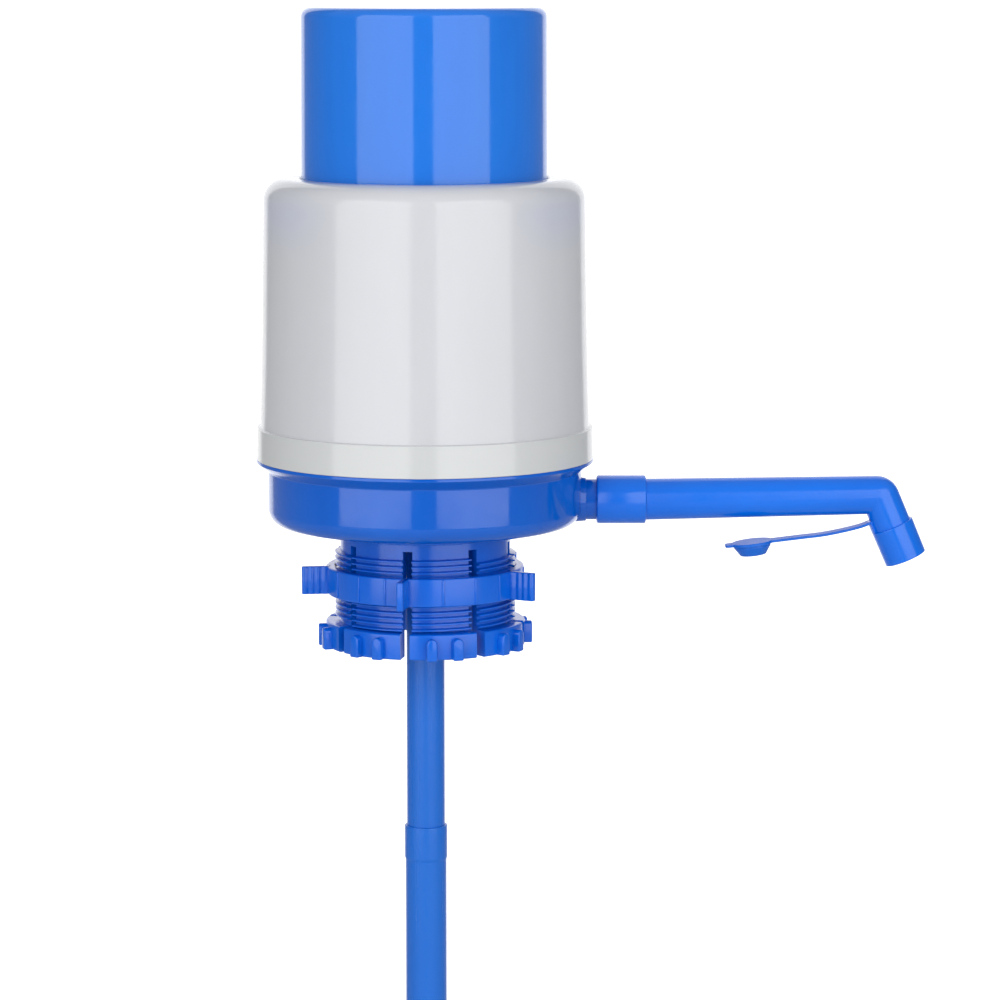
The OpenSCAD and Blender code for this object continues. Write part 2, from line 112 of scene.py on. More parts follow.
class Graph:
    def __init__(self, tree):
        self.tree = tree
        tree.nodes.clear()

    def make(self, kind, settings=None, sockets=None, output=0):
        node = self.tree.nodes.new(kind)
        for key, value in (settings or {}).items():
            setattr(node, key, value)
        for key, value in (sockets or {}).items():
            if isinstance(value, Wire):
                self.tree.links.new(value.socket, node.inputs[key])
            else:
                node.inputs[key].default_value = value
        return Wire(self, node.outputs[output]) if len(node.outputs) else None

    def blend(self, factor, first, second):
        # colours by factor; 6 and 7 are the Mix node's colour sockets and 2 its colour output
        return self.make("ShaderNodeMix", {"data_type": "RGBA"}, {0: factor, 6: first, 7: second}, 2)

    def noise(self, where, scale, detail=2.0, roughness=0.5):
        sockets = {"Vector": where, "Scale": scale, "Detail": detail, "Roughness": roughness}
        return self.make("ShaderNodeTexNoise", {}, sockets)

    def stretch(self, where, x, y, z):
        return self.make("ShaderNodeVectorMath", {"operation": "MULTIPLY"}, {0: where, 1: (x, y, z)})

    def along(self, where, axis):
        # one of the three coordinates, 0 to 2
        return self.make("ShaderNodeSeparateXYZ", {}, {0: where}, axis)

    def remap(self, value, low, high, fromLow=0.0, fromHigh=1.0):
        sockets = {"Value": value, "From Min": fromLow, "From Max": fromHigh, "To Min": low, "To Max": high}
        return self.make("ShaderNodeMapRange", {}, sockets)

    def ramp(self, value, start, end):
        # 0 before start, 1 after end
        return self.remap(value, 0.0, 1.0, start, end)


def paint(red, green, blue):
    # screen colour 0 to 255 to a linear shader colour
    line = [c / 255 for c in (red, green, blue)]
    line = [c / 12.92 if c <= 0.04045 else ((c + 0.055) / 1.055) ** 2.4 for c in line]
    return (*line, 1.0)


# finishes; the grain's sizes are noise scales on metres, larger is finer

grain = {"flow": 38.0, "cloud": 9.0, "haze": 140.0, "ripple": 90.0, "hairAcross": 1500.0, "hairAlong": 60.0,
         "flowShare": 0.6, "markRange": (0.36, 0.64), "hairRange": (0.62, 0.7), "hazeRange": (0.3, 0.7),
         "glossBelow": 0.03, "glossAbove": 0.05, "peelShare": 0.25, "rippleShare": 0.6, "bumpDepth": 0.0006,
         "ior": 1.5}
# what a look has when it doesn't say; each says its own gloss and peel
plainLook = {"peelScale": 900.0, "peelLift": 1.0, "flowLift": 0.3, "hair": 0.05, "shine": 0.5}


def mouldedFinish(name, colour, deep, look, overlay=None):
    # glossy or satin moulding: flow marks in the colour, haze and hairlines in the gloss, fine orange peel
    look = {**plainLook, **look}
    material = bpy.data.materials.new(name)
    material.use_nodes = True
    graph = Graph(material.node_tree)
    where = graph.make("ShaderNodeTexCoord", output="Object")

    flow = graph.noise(graph.stretch(where, 1.0, 1.0, look["flowLift"]), grain["flow"], 3.0, 0.55)
    cloud = graph.noise(where, grain["cloud"], 2.0)
    marks = flow * grain["flowShare"] + cloud * (1 - grain["flowShare"])
    tone = graph.blend(graph.ramp(marks, *grain["markRange"]), colour, deep)
    if overlay:
        tone = overlay(graph, where, tone)

    along = graph.stretch(where, 1.0, 1.0, look["peelLift"])
    haze = graph.noise(along, grain["haze"], 4.0, 0.6)
    hairWay = graph.stretch(where, grain["hairAcross"], grain["hairAcross"], grain["hairAlong"])
    hairs = graph.ramp(graph.noise(hairWay, 1.0, 2.0), *grain["hairRange"])
    gloss = graph.remap(haze, look["gloss"] - grain["glossBelow"], look["gloss"] + grain["glossAbove"],
                        *grain["hazeRange"])
    rough = gloss + hairs * look["hair"]

    peel = graph.noise(along, look["peelScale"], 3.0, 0.5)
    ripple = graph.noise(along, grain["ripple"], 1.0)
    height = peel * grain["peelShare"] + ripple * grain["rippleShare"]
    bump = graph.make("ShaderNodeBump", {}, {
        "Height": height, "Strength": look["peel"], "Distance": grain["bumpDepth"]})
    shader = graph.make("ShaderNodeBsdfPrincipled", {}, {
        "Base Color": tone, "Roughness": rough, "Normal": bump,
        "IOR": grain["ior"], "Specular IOR Level": look["shine"]})
    graph.make("ShaderNodeOutputMaterial", {}, {"Surface": shader})
    return material


# heights and radii in metres, as the shader reads them
milkWall = {"band": paint(198, 200, 200), "bandTop": 0.041, "bandEdge": 0.0004, "skirt": paint(172, 182, 218),
            "skirtShare": 0.28, "skirtSides": (0.030, 0.046), "skirtFoot": (0.104, 0.119),
            "skirtTop": (0.121, 0.130)}


def milkOverlay(graph, where, tone):
    # the foot band is a shade warmer, and the cap's blue skirt shows faintly through the sides
    height = graph.along(where, 2)
    aboveBand = graph.ramp(height, milkWall["bandTop"] - milkWall["bandEdge"], milkWall["bandTop"])
    tone = graph.blend(1 - aboveBand, tone, milkWall["band"])
    sides = graph.ramp(abs(graph.along(where, 0)), *milkWall["skirtSides"])
    lifted = graph.ramp(height, *milkWall["skirtFoot"])
    ended = graph.ramp(height, *milkWall["skirtTop"])
    return graph.blend(sides * lifted * (1 - ended) * milkWall["skirtShare"], tone, milkWall["skirt"])


capBlue = mouldedFinish("capBlueGloss", paint(34, 117, 218), paint(30, 111, 211), {
    "gloss": 0.09, "peel": 0.03, "hair": 0.01})
baseBlue = mouldedFinish("baseDeepBlue", paint(3, 93, 197), paint(2, 87, 190), {
    "gloss": 0.09, "peel": 0.03, "hair": 0.01})
collarBlue = mouldedFinish("collarDeepBlue", paint(3, 100, 214), paint(2, 94, 206), {
    "gloss": 0.17, "peel": 0.05, "hair": 0.02})
spoutBlue = mouldedFinish("spoutBrightBlue", paint(2, 110, 226), paint(2, 104, 219), {
    "gloss": 0.18, "peel": 0.05, "flowLift": 1.0, "hair": 0.02})
strapBlue = mouldedFinish("strapSoftBlue", paint(4, 102, 208), paint(3, 96, 201), {
    "gloss": 0.42, "peel": 0.05, "flowLift": 1.0, "hair": 0.02, "shine": 0.4})
tubeBlue = mouldedFinish("dipTubeBlue", paint(12, 106, 206), paint(10, 100, 199), {
    "gloss": 0.26, "peel": 0.03, "peelScale": 350.0, "peelLift": 0.02, "flowLift": 0.05, "hair": 0.01})
housingWhite = mouldedFinish("housingMilkWhite", paint(201, 202, 206), paint(197, 198, 202), {
    "gloss": 0.12, "peel": 0.01, "peelScale": 350.0, "hair": 0.0}, milkOverlay)
bellowsWhite = mouldedFinish("bellowsMilkWhite", paint(205, 209, 212), paint(197, 202, 206), {
    "gloss": 0.42, "peel": 0.2})
valveWhite = mouldedFinish("valvePlateWhite", paint(214, 215, 214), paint(207, 209, 209), {
    "gloss": 0.4, "peel": 0.2})
sealRubber = mouldedFinish("sealRubberGrey", paint(62, 66, 72), paint(54, 57, 63), {
    "gloss": 0.62, "peel": 0.35, "hair": 0.02, "shine": 0.35})
print("finishes made,", len(bpy.data.materials))


# mesh helpers, in millimetres and degrees; the seam gap and the sliver are metres

fineSteps = 192
smallSteps = 96
arcStep = 5
sharpFrom = 38
finelySharp = 30
bevelFrom = 35
squareEdge = 50
seamGap = 1e-6
sliver = 1e-7


def roundedOutline(corners):
    # corners are (across, up) or (across, up, rounding)
    points = []
    for i, corner in enumerate(corners):
        tip = Vector(corner[:2])
        if len(corner) == 2:
            points.append(tip)
            continue
        toLast = (Vector(corners[i - 1][:2]) - tip).normalized()
        toNext = (Vector(corners[(i + 1) % len(corners)][:2]) - tip).normalized()
        half = math.acos(max(-1.0, min(1.0, toLast.dot(toNext)))) / 2
        centre = tip + (toLast + toNext).normalized() * corner[2] / math.sin(half)
        reach = corner[2] / math.tan(half)
        start = tip + toLast * reach - centre
        end = tip + toNext * reach - centre
        turn = math.atan2(start.x * end.y - start.y * end.x, start.dot(end))
        steps = max(3, round(abs(turn) / math.radians(arcStep)))
        for k in range(steps + 1):
            c, s = math.cos(turn * k / steps), math.sin(turn * k / steps)
            points.append(centre + Vector((start.x * c - start.y * s, start.x * s + start.y * c)))
    return points


def meshFrom(name, points, faces):
    # points in millimetres; seams and poles are closed and faces turned outwards
    mesh = bpy.data.meshes.new(name)
    mesh.from_pydata([Vector(p) * mm for p in points], [], faces)
    work = bmesh.new()
    work.from_mesh(mesh)
    bmesh.ops.remove_doubles(work, verts=work.verts, dist=seamGap)
    bmesh.ops.dissolve_degenerate(work, edges=work.edges, dist=sliver)
    bmesh.ops.recalc_face_normals(work, faces=work.faces)
    work.to_mesh(mesh)
    work.free()
    return mesh


def loftedMesh(name, rings, closed=False, place=None):
    # joins rings of equally many points, then moves them by place; an open run gets a face on each end
    count = len(rings[0])
    total = count * len(rings)
    faces = [] if closed else [tuple(range(count)), tuple(range(total - count, total))]
    for k in range(len(rings) if closed else len(rings) - 1):
        near, far = rings[k], rings[(k + 1) % len(rings)]
        a, b = k * count, (k + 1) % len(rings) * count
        for i in range(count):
            j = (i + 1) % count
            if near[i] == far[i] and near[j] == far[j]:
                continue  # an edge on the axis is the same in all rings
            faces.append((a + i, b + i, b + j, a + j))
    points = [p for ring in rings for p in ring]
    if place:
        points = [place @ Vector(p) for p in points]
    return meshFrom(name, points, faces)


def turnedMesh(name, corners, steps=fineSteps, place=None):
    # closed outline turned round Z
    outline = roundedOutline(corners)
    rings = []
    for k in range(steps):
        c, s = math.cos(2 * math.pi * k / steps), math.sin(2 * math.pi * k / steps)
        rings.append([(p.x * c, p.x * s, p.y) for p in outline])
    return loftedMesh(name, rings, True, place)


def sweptSector(name, corners, halfAngle, steps, rise=0.0, place=None):
    # closed outline swept from -halfAngle(radius) to +halfAngle(radius), in radians, rising by rise a turn
    outline = roundedOutline(corners)
    rings = []
    for k in range(steps + 1):
        angles = [(2 * k / steps - 1) * halfAngle(p.x) for p in outline]
        rings.append([(p.x * math.cos(a), p.x * math.sin(a), p.y + rise * a / (2 * math.pi))
                      for p, a in zip(outline, angles)])
    return loftedMesh(name, rings, False, place)


def joined(name, meshes):
    work = bmesh.new()
    for mesh in meshes:
        work.from_mesh(mesh)
    result = bpy.data.meshes.new(name)
    work.to_mesh(result)
    work.free()
    return result


def bevelled(mesh, width, segments=2, angle=bevelFrom):
    # rounds the sharp edges of a mesh
    work = bmesh.new()
    work.from_mesh(mesh)
    limit = math.radians(angle)
    sharp = [e for e in work.edges if len(e.link_faces) == 2 and e.calc_face_angle(0) > limit]
    bmesh.ops.bevel(work, geom=sharp, offset=width * mm, segments=segments, profile=0.5,
                    affect="EDGES", clamp_overlap=True)
    bmesh.ops.recalc_face_normals(work, faces=work.faces)
    work.to_mesh(mesh)
    work.free()
    return mesh


def pieceOf(mesh, material, body="", stands=(), sharp=sharpFrom):
    piece = bpy.data.objects.new(mesh.name, mesh)
    bpy.context.scene.collection.objects.link(piece)
    mesh.materials.clear()
    mesh.materials.append(material)
    mesh.shade_smooth()
    mesh.set_sharp_from_angle(angle=math.radians(sharp))
    if stands:
        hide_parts(*stands)
    if body:
        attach(piece, body)
    return piece


def finishNode(node, material):
    # an inner piece keeps its CAD mesh and only takes a finish
    piece = frame["nodes"][node]
    if not piece.material_slots:
        piece.data.materials.append(material)
    for place in piece.material_slots:
        place.material = material


# a geometry tree that repeats a piece round the axis

def aroundAxisTree():
    tree = bpy.data.node_groups.new("aroundTheAxis", "GeometryNodeTree")
    face = tree.interface
    face.new_socket("Piece", in_out="INPUT", socket_type="NodeSocketGeometry")
    for label, kind in (("Count", "Int"), ("First turn", "Float"), ("Turn step", "Float"),
                        ("First rise", "Float"), ("Rise step", "Float"), ("Finish", "Material")):
        face.new_socket(label, in_out="INPUT", socket_type="NodeSocket" + kind)
    face.new_socket("Result", in_out="OUTPUT", socket_type="NodeSocketGeometry")
    graph = Graph(tree)
    given = tree.nodes.new("NodeGroupInput")
    value = {s.name: Wire(graph, s) for s in given.outputs if s.name}
    index = graph.make("GeometryNodeInputIndex")
    place = graph.make("ShaderNodeCombineXYZ", {}, {2: value["First rise"] + index * value["Rise step"]})
    turn = graph.make("ShaderNodeCombineXYZ", {}, {2: value["First turn"] + index * value["Turn step"]})
    spots = graph.make("GeometryNodePoints", {}, {"Count": value["Count"], "Position": place})
    copies = graph.make("GeometryNodeInstanceOnPoints", {}, {
        "Points": spots, "Instance": value["Piece"], "Rotation": turn})
    solid = graph.make("GeometryNodeRealizeInstances", {}, {0: copies})
    dressed = graph.make("GeometryNodeSetMaterial", {}, {"Geometry": solid, "Material": value["Finish"]})
    graph.make("NodeGroupOutput", {}, {0: dressed})
    return tree


aroundTheAxis = aroundAxisTree()


def repeated(mesh, count, firstTurn, turnStep, material, firstRise=0.0, riseStep=0.0):
    # one plain mesh of count copies, each turned and raised by a step from the last
    carrier = bpy.data.objects.new(mesh.name + "Repeat", mesh)
    bpy.context.scene.collection.objects.link(carrier)
    modifier = carrier.modifiers.new("around", "NODES")
    modifier.node_group = aroundTheAxis
    wanted = {
        "Count": count, "First turn": math.radians(firstTurn), "Turn step": math.radians(turnStep),
        "First rise": firstRise * mm, "Rise step": riseStep * mm, "Finish": material}
    for item in aroundTheAxis.interface.items_tree:
        if item.name in wanted:
            modifier[item.identifier] = wanted[item.name]
    result = bpy.data.meshes.new_from_object(carrier.evaluated_get(bpy.context.evaluated_depsgraph_get()))
    carrier.modifiers.clear()
    bpy.data.objects.remove(carrier)
    return result


# press cap

cap = {"radius": 44.5, "draft": 0.3, "top": 192.0, "crown": 3.5, "wall": 2.0, "innerCrown": 1.5,
       "flangeTop": 120.0, "flangeStep": 3.0, "flangeFoot": 117.0, "stubOut": 15.6, "stubIn": 13.6,
       "stubFoot": 182.5}
capSide = cap["radius"] - cap["draft"]
ceiling = cap["top"] - cap["wall"]
pieceOf(turnedMesh("pressCapShell", [
    (0, cap["top"]),
    (capSide, cap["top"], cap["crown"]),
    (cap["radius"], cap["flangeTop"]),
    (cap["radius"] + cap["flangeStep"], cap["flangeTop"]),
    (cap["radius"] + cap["flangeStep"], cap["flangeFoot"]),
    (cap["radius"] - cap["wall"], cap["flangeFoot"]),
    (capSide - cap["wall"], ceiling, cap["innerCrown"]),
    (cap["stubOut"], ceiling),
    (cap["stubOut"], cap["stubFoot"]),
    (cap["stubIn"], cap["stubFoot"]),
    (cap["stubIn"], ceiling),
    (0, ceiling)]), capBlue, "cap", ("press_cap",))
finishNode("intake_seat", valveWhite)
finishNode("intake_flap", sealRubber)
print("press cap made")


# housing, with the guide that the cap slides in

housing = {"rimIn": 44.9, "rimTop": 131.0, "rimRound": 0.9, "shoulder": 58.0, "shoulderRound": 8.0,
           "mid": 59.1, "midZ": 69.6, "low": 59.9, "lowRound": 0.3, "band": 61.3, "bandDraft": 0.3,
           "bandTop": 41.0, "bandRound": 0.6, "foot": 29.3, "footRound": 0.35, "wall": 2.0,
           "innerShoulder": 6.0, "guideWall": 2.4, "guideFoot": 120.3}
inside = {key: housing[key] - housing["wall"] for key in ("shoulder", "mid", "low", "band", "rimTop")}
guideOut = housing["rimIn"] + housing["guideWall"]
pieceOf(turnedMesh("housingShell", [
    (housing["rimIn"], housing["guideFoot"]),
    (housing["rimIn"], housing["rimTop"], housing["rimRound"]),
    (housing["shoulder"], housing["rimTop"], housing["shoulderRound"]),
    (housing["mid"], housing["midZ"]),
    (housing["low"], housing["bandTop"], housing["lowRound"]),
    (housing["band"] - housing["bandDraft"], housing["bandTop"], housing["bandRound"]),
    (housing["band"], housing["foot"], housing["footRound"]),
    (inside["band"], housing["foot"]),
    (inside["band"], housing["bandTop"] - housing["wall"]),
    (inside["low"], housing["bandTop"]),
    (inside["mid"], housing["midZ"]),
    (inside["shoulder"], inside["rimTop"], housing["innerShoulder"]),
    (guideOut, inside["rimTop"]),
    (guideOut, housing["guideFoot"])]), housingWhite, "pump", ("outer_body",))
print("housing made")


# base, with the boss that its outlet comes out of

base = {"lip": 61.3, "lipTop": 29.3, "lipFoot": 28.2, "lipRound": 0.3, "wallOut": 57.1, "taperFoot": 25.0,
        "taperRound": 0.8, "bowlEdge": 6.2, "bowlRound": 6.0, "bowlInner": 4.0, "foot": 1.6, "footRound": 0.4,
        "wall": 2.0, "grooveIn": 28.2, "grooveOut": 31.1, "grooveTop": 5.0, "grooveRoof": 6.3,
        "grooveWall": 33.1, "gasket": 2.5, "floorTop": 5.0, "hole": 9.1, "plateFoot": 29.6,
        "spigotOut": 59.2, "spigotIn": 57.2, "spigotTop": 37.3, "outletZ": 13.8}
boss = {"inside": 54.0, "root": 8.3, "tip": 7.9, "tipRound": 0.15, "out": 58.6, "nozzle": 7.5, "seat": 57.2,
        "steps": 72}
wallIn = base["wallOut"] - base["wall"]
grooveLip = base["grooveIn"] - base["wall"]
baseShell = turnedMesh("basePanShell", [
    (base["spigotOut"], base["lipTop"]),
    (base["lip"], base["lipTop"], base["lipRound"]),
    (base["lip"], base["lipFoot"], base["lipRound"]),
    (base["wallOut"], base["taperFoot"], base["taperRound"]),
    (base["wallOut"], base["bowlEdge"], base["bowlRound"]),
    (base["grooveWall"], base["foot"], base["footRound"]),
    (base["grooveOut"], base["foot"]),
    (base["grooveOut"], base["grooveTop"]),
    (base["grooveIn"], base["grooveTop"]),
    (base["grooveIn"], base["gasket"]),
    (base["hole"], base["gasket"]),
    (base["hole"], base["floorTop"]),
    (grooveLip, base["floorTop"]),
    (grooveLip, base["grooveRoof"]),
    (base["grooveWall"], base["grooveRoof"]),
    (base["grooveWall"], base["foot"] + base["wall"]),
    (wallIn, base["bowlEdge"] + base["wall"], base["bowlInner"]),
    (wallIn, base["plateFoot"]),
    (base["spigotIn"], base["plateFoot"]),
    (base["spigotIn"], base["spigotTop"]),
    (base["spigotOut"], base["spigotTop"])])
alongX = Matrix.Translation((0, 0, base["outletZ"])) @ Matrix.Rotation(math.pi / 2, 4, "Y")
outletBoss = turnedMesh("outletBoss", [
    (0, boss["inside"]), (boss["root"], boss["inside"]), (boss["tip"], boss["out"], boss["tipRound"]),
    (boss["nozzle"], boss["out"]), (boss["nozzle"], boss["seat"]), (0, boss["seat"])], boss["steps"], alongX)
pieceOf(joined("basePan", [baseShell, outletBoss]), baseBlue, "pump", ("base_pan",))
finishNode("valve_plate", valveWhite)
finishNode("bellows_clamp_ring", baseBlue)
finishNode("outlet_elbow", baseBlue)
finishNode("outlet_o_ring", sealRubber)
finishNode("lip_gasket", sealRubber)
finishNode("delivery_flap", sealRubber)
print("base made")


# bellows, inside the housing and the cap

fold = {"count": 11, "foot": 41.6, "top": 176.4, "out": 40.3, "in": 33.3, "round": 0.4, "wall": 0.9,
        "cuff": 38.3, "flange": 45.6, "plate": 32.6, "flangeTop": 34.1, "headTop": 182.4, "headWall": 1.3,
        "headHole": 13.6, "travel": 50.0}
cuffIn = fold["cuff"] - fold["wall"]
headFoot = fold["headTop"] - fold["headWall"]


def foldPath(shift):
    # the folds' corners from the lowest up, moved inwards by shift
    pitch = (fold["top"] - fold["foot"]) / fold["count"]
    path = []
    for k in range(fold["count"]):
        foot = fold["foot"] + k * pitch
        path += [(fold["in"] - shift, foot + 0.1 * pitch, fold["round"]),
                 (fold["out"] - shift, foot + 0.5 * pitch, fold["round"]),
                 (fold["in"] - shift, foot + 0.9 * pitch, fold["round"])]
    return path


bellows = pieceOf(turnedMesh("bellowsSkin", [
    (cuffIn, fold["plate"]),
    (fold["flange"], fold["plate"]),
    (fold["flange"], fold["flangeTop"]),
    (fold["cuff"], fold["flangeTop"]),
    (fold["cuff"], fold["foot"]),
    *foldPath(0.0),
    (fold["cuff"], fold["top"]),
    (fold["cuff"], fold["headTop"]),
    (fold["headHole"], fold["headTop"]),
    (fold["headHole"], headFoot),
    (cuffIn, headFoot),
    (cuffIn, fold["top"]),
    *foldPath(fold["wall"])[::-1],
    (cuffIn, fold["foot"])], smallSteps), bellowsWhite, "pump", ("bellows",))
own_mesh(bellows)
print("bellows made")


# spout: collar, tapered tube, elbow and leg; its outline runs as (x, z) in the plane y = 0

spout = {"reach": 165.7, "axisZ": 13.8, "rise": 1.6, "collarStart": 62.4, "collarEnd": 80.4, "collar": 8.8,
         "socket": 7.5, "socketEnd": 78.3, "taper": [(100.0, 7.43), (130.0, 7.23), (150.0, 7.1)],
         "leg": 7.0, "legTilt": 23.0, "legStart": 14.0, "legEnd": 20.3, "legRound": 0.3, "water": 5.2,
         "waterStart": 80.4, "waterEnd": 120.0, "elbowRound": 1.4, "innerBend": 0.35, "ringSteps": 64,
         "elbowSteps": 12}
# the collar's two rounded ends, as (distance along, depth below the collar's radius)
collarMouth = [(0.0, 0.7), (0.1, 0.45), (0.35, 0.15), (0.8, 0.0)]
collarHeel = [(-0.6, 0.0), (-0.25, 0.12), (-0.05, 0.35), (0.0, 0.7), (0.05, 1.05), (0.3, 1.22), (1.0, 1.26)]
legWay = Vector((math.sin(math.radians(spout["legTilt"])), -math.cos(math.radians(spout["legTilt"]))))
legOut = Vector((-legWay.y, legWay.x))
corner = Vector((spout["reach"], spout["axisZ"] + spout["rise"]))
ringAngles = [2 * math.pi * k / spout["ringSteps"] for k in range(spout["ringSteps"])]


def elbowRings(way, out, radius):
    # the elbow turns round a line close inside its corner, so that the outer side is a wide arc
    turn = math.acos(way.dot(legWay))
    mitre = (out + legOut) / (1 + out.dot(legOut))
    rings = []
    for step in range(spout["elbowSteps"] + 1):
        t = -turn * step / spout["elbowSteps"]
        arm = Vector((out.x * math.cos(t) - out.y * math.sin(t), out.x * math.sin(t) + out.y * math.cos(t)))
        ring = []
        for a in ringAngles:
            offset = radius * math.cos(a)
            bend = max(offset + spout["elbowRound"], spout["innerBend"])
            start = corner + mitre * offset - way * bend * math.tan(turn / 2) - out * bend
            point = start + arm * bend
            ring.append((point.x, radius * math.sin(a), point.y))
        rings.append(ring)
    return rings


def spoutRings(stations, elbowRadius, legStations):
    # rings along the tube: stations before the elbow are (x, radius), after it (distance, radius)
    run = Vector((spout["reach"] - spout["collarEnd"], spout["rise"]))
    way = run.normalized()
    out = Vector((-way.y, way.x))
    rings = []
    for x, radius in stations:
        share = max(0.0, (x - spout["collarEnd"]) / run.x)
        z = spout["axisZ"] + share * spout["rise"]
        rings.append([(x, radius * math.sin(a), z + radius * math.cos(a)) for a in ringAngles])
    rings += elbowRings(way, out, elbowRadius)
    for distance, radius in legStations:
        centre = corner + legWay * distance
        rings.append([(centre.x + legOut.x * radius * math.cos(a), radius * math.sin(a),
                       centre.y + legOut.y * radius * math.cos(a)) for a in ringAngles])
    return rings


outer = spoutRings([
    *[(spout["collarStart"] + x, spout["collar"] - depth) for x, depth in collarMouth],
    *[(spout["collarEnd"] + x, spout["collar"] - depth) for x, depth in collarHeel],
    *spout["taper"]], spout["leg"], [
    (spout["legStart"], spout["leg"]),
    (spout["legEnd"] - spout["legRound"], spout["leg"]),
    (spout["legEnd"], spout["leg"] - spout["legRound"])])
inner = spoutRings([
    (spout["collarStart"], spout["socket"]), (spout["socketEnd"], spout["socket"]),
    (spout["socketEnd"], spout["water"]), (spout["waterStart"], spout["water"]),
    (spout["waterEnd"], spout["water"])], spout["water"], [
    (spout["legStart"], spout["water"]), (spout["legEnd"], spout["water"])])
pieceOf(loftedMesh("spoutTube", outer + inner[::-1], True),
        spoutBlue, "spout_arm", ("spout",), finelySharp)
print("spout made")


# end sleeve, strap and plug: one soft moulding

sleeve = {"length": 13.3, "foot": 25.3, "bore": 7.05, "out": 7.85, "draft": 0.15, "topRound": 0.35,
          "footRound": 0.3, "boreRound": 0.2, "earRise": 4.6, "earDip": 1.0, "earHalf": 27.0, "earSteps": 12}
sleeveTop = sleeve["foot"] - sleeve["length"]
legPlace = (Matrix.Translation((corner.x, 0, corner.y))
            @ Matrix.Rotation(math.pi - math.radians(spout["legTilt"]), 4, "Y"))
endSleeve = turnedMesh("endSleeveTube", [
    (sleeve["bore"], sleeveTop),
    (sleeve["out"], sleeveTop, sleeve["topRound"]),
    (sleeve["out"] - sleeve["draft"], sleeve["foot"], sleeve["footRound"]),
    (sleeve["bore"], sleeve["foot"], sleeve["boreRound"])], smallSteps, legPlace)
ear = sweptSector("strapEar", [
    (sleeve["bore"], sleeveTop + sleeve["earDip"]),
    (sleeve["bore"], sleeveTop - sleeve["earRise"]),
    (sleeve["out"], sleeveTop - sleeve["earRise"], sleeve["topRound"]),
    (sleeve["out"], sleeveTop + sleeve["earDip"])],
    lambda radius: math.radians(sleeve["earHalf"]), sleeve["earSteps"], 0.0, legPlace)
pieceOf(joined("endSleeve", [endSleeve, ear]), spoutBlue, "spout_arm", ("spout_sleeve",),
        finelySharp)

# the strap's line starts inside the ear and ends under the plug's lid
strap = {"start": (164.1, 6.1), "lift": 0.25, "tailTurn": 187.0, "tail": 17.646, "tailEnd": 6.0,
         "width": 6.5, "thick": 0.9, "edge": 0.3, "steps": 28, "bendShare": 0.42, "probe": 0.01}
hinges = [Vector(j["pos_m"]) / mm for j in frame["joints"] if j["name"].startswith("strap_bend")]
hinges = [Vector((h.x, h.z)) for h in sorted(hinges, key=lambda h: -h.x)]
tailAngle = math.radians(strap["tailTurn"])
tailWay = Vector((math.cos(tailAngle), math.sin(tailAngle)))
plugAt = hinges[2] + tailWay * strap["tail"]
stops = [Vector(strap["start"]), hinges[0], hinges[1] + Vector((0, strap["lift"])), hinges[2],
         plugAt - tailWay * strap["tailEnd"]]


def strapPoint(share):
    # smooth curve through the stops, share from 0 to 4
    i = min(int(share), 3)
    t = share - i
    p1, p2 = stops[i], stops[i + 1]
    p0 = stops[i - 1] if i else p1 * 2 - p2
    p3 = stops[i + 2] if i < 3 else p2 + tailWay * (p2 - p1).length
    return 0.5 * (2 * p1 + (p2 - p0) * t + (2 * p0 - 5 * p1 + 4 * p2 - p3) * t * t
                  + (3 * p1 - p0 - 3 * p2 + p3) * t * t * t)


def strapMesh(name, start, end):
    # flat strip with rounded long edges between two shares of the curve
    half, thick = strap["width"] / 2, strap["thick"] / 2
    section = roundedOutline([(x, y, strap["edge"]) for x, y in (
        (-half, -thick), (half, -thick), (half, thick), (-half, thick))])
    rings = []
    for k in range(strap["steps"] + 1):
        share = start + (end - start) * k / strap["steps"]
        here = strapPoint(share)
        way = (strapPoint(share + strap["probe"]) - strapPoint(share - strap["probe"])).normalized()
        up = Vector((way.y, -way.x))
        rings.append([(here.x + up.x * p.y, p.x, here.y + up.y * p.y) for p in section])
    return loftedMesh(name, rings)


crossings = (("strapRootBend", 0.0, 1.5, "spout_arm", "strap_upper", ("strap_link_upper",)),
             ("strapMiddleBend", 1.5, 2.5, "strap_upper", "strap_lower", ("strap_link_lower",)),
             ("strapTipBend", 2.5, 4.0, "strap_lower", "plug", ()))
for i, (name, start, end, first, second, stands) in enumerate(crossings):
    strip = pieceOf(strapMesh(name, start, end), strapBlue, "", stands, finelySharp)
    near, far = (strapPoint(i + 1 + side * strap["bendShare"]) for side in (-1, 1))
    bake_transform(strip)

plug = {"lid": 7.7, "lidThick": 1.1, "lidRounds": (0.25, 0.35), "radius": 6.7, "tip": 4.7, "straight": 0.8,
        "depth": 3.8, "wall": 1.1, "edge": 0.3, "innerEdge": 0.2, "tab": 9.9, "tabRoot": 5.0, "tabHalf": 3.25,
        "tabRound": 1.6, "tabThick": 0.9, "tabEdge": 0.2}
plugPlace = (Matrix.Translation((plugAt.x, 0, plugAt.y))
             @ Matrix.Rotation(math.radians(180 - strap["tailTurn"]), 4, "Y"))
halfLid = plug["lidThick"] / 2
plugFoot = -halfLid - plug["depth"]
plugBody = turnedMesh("plugBody", [
    (0, -halfLid),
    (plug["radius"] - plug["wall"], -halfLid, plug["edge"]),
    (plug["tip"] - plug["wall"], plugFoot, plug["innerEdge"]),
    (plug["tip"], plugFoot, plug["edge"]),
    (plug["radius"], -halfLid - plug["straight"], plug["edge"]),
    (plug["radius"], -halfLid),
    (plug["lid"], -halfLid, plug["lidRounds"][0]),
    (plug["lid"], halfLid, plug["lidRounds"][1]),
    (0, halfLid)], smallSteps, plugPlace)
